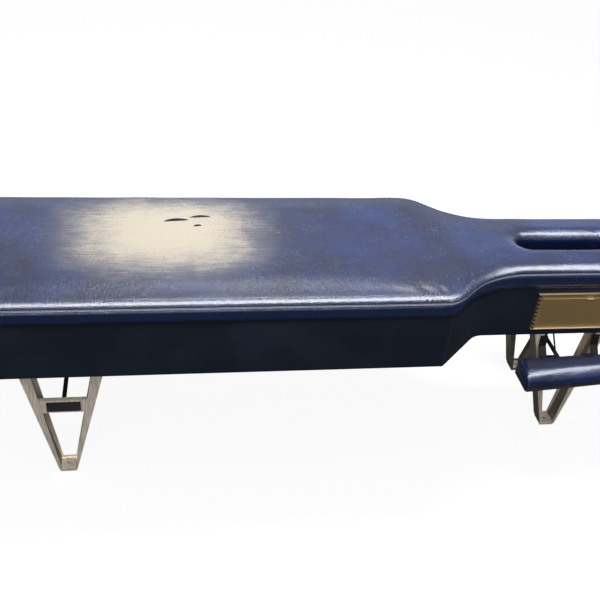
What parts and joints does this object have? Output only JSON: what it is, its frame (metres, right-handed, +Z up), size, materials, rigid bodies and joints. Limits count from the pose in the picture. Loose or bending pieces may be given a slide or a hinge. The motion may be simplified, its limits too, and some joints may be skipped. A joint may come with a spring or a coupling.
{
  "type": "chiropractic table",
  "caption": "Padded treatment table with a narrow head section, face slot, V-shaped sheet legs, folding padded armrests and a side compartment with a hinged door.",
  "frame": {"origin": "on the floor under the middle of the table", "axes": "+X along the table towards the head end, +Y across it away from the door side, +Z up"},
  "size_m": [1.92, 0.5628, 0.575],
  "materials": {
    "top_vinyl": "satin",
    "side_vinyl": "satin",
    "board_wood": "matte",
    "leg_steel": "satin",
    "black_steel": "satin",
    "bronze_sheet": "satin",
    "hinge_steel": "satin",
    "liner_sheet": "matte",
    "bolt_steel": "satin",
    "pad_rubber": "matte",
    "black_plastic": "satin"
  },
  "bodies": {
    "root": {"torso_side_panel_near": "side_vinyl", "torso_side_panel_far": "side_vinyl", "shoulder_panel_near": "side_vinyl", "shoulder_panel_far": "side_vinyl", "head_side_panel_near": "side_vinyl", "head_side_panel_far": "side_vinyl", "foot_end_panel": "side_vinyl", "head_end_panel": "side_vinyl", "deck_board": "board_wood", "deck_batten_foot": "board_wood", "deck_batten_middle": "board_wood", "cushion": "top_vinyl", "foot_leg_near": "leg_steel", "foot_cross_strip_near": "leg_steel", "foot_leg_pad_near": "pad_rubber", "foot_leg_far": "leg_steel", "foot_cross_strip_far": "leg_steel", "foot_leg_pad_far": "pad_rubber", "foot_spreader_bar": "black_steel", "foot_leg_batten_outer": "board_wood", "foot_leg_batten_inner": "board_wood", "head_leg_near": "leg_steel", "head_cross_strip_near": "leg_steel", "head_leg_pad_near": "pad_rubber", "head_leg_far": "leg_steel", "head_cross_strip_far": "leg_steel", "head_leg_pad_far": "pad_rubber", "head_spreader_bar": "black_steel", "head_leg_batten_outer": "board_wood", "head_leg_batten_inner": "board_wood", "blank_plate": "black_plastic", "leg_bolts": "bolt_steel", "door_frame": "bronze_sheet", "compartment_liner": "liner_sheet", "hinge_leaf_fixed": "hinge_steel", "hinge_pin": "hinge_steel", "magnet_catch": "black_plastic", "armrest_hanger_foot_near": "black_steel", "armrest_hanger_head_near": "black_steel", "armrest_pin_near": "bolt_steel", "armrest_stop_rod_near": "black_steel", "armrest_hanger_foot_far": "black_steel", "armrest_hanger_head_far": "black_steel", "armrest_pin_far": "bolt_steel", "armrest_stop_rod_far": "black_steel", "hanger_bolts": "bolt_steel"},
    "door": {"door_panel": "bronze_sheet", "hinge_leaf_moving": "hinge_steel", "strike_plate": "bolt_steel"},
    "near_armrest": {"armrest_pad_near": "top_vinyl", "armrest_board_near": "board_wood", "armrest_block_foot_near": "black_steel", "armrest_block_head_near": "black_steel"},
    "far_armrest": {"armrest_pad_far": "top_vinyl", "armrest_board_far": "board_wood", "armrest_block_foot_far": "black_steel", "armrest_block_head_far": "black_steel"}
  },
  "joints": [
    {"name": "door_hinge", "type": "hinge", "parent": "root", "child": "door", "pos_m": [0.6342, -0.1373, 0.424], "axis": [0, 0, -1], "range_deg": [0, 110]},
    {"name": "near_armrest_hinge", "type": "hinge", "parent": "root", "child": "near_armrest", "pos_m": [0.764, -0.163, 0.27], "axis": [1, 0, 0], "range_deg": [0, 75]},
    {"name": "far_armrest_hinge", "type": "hinge", "parent": "root", "child": "far_armrest", "pos_m": [0.764, 0.163, 0.27], "axis": [-1, 0, 0], "range_deg": [0, 75]}
  ]
}
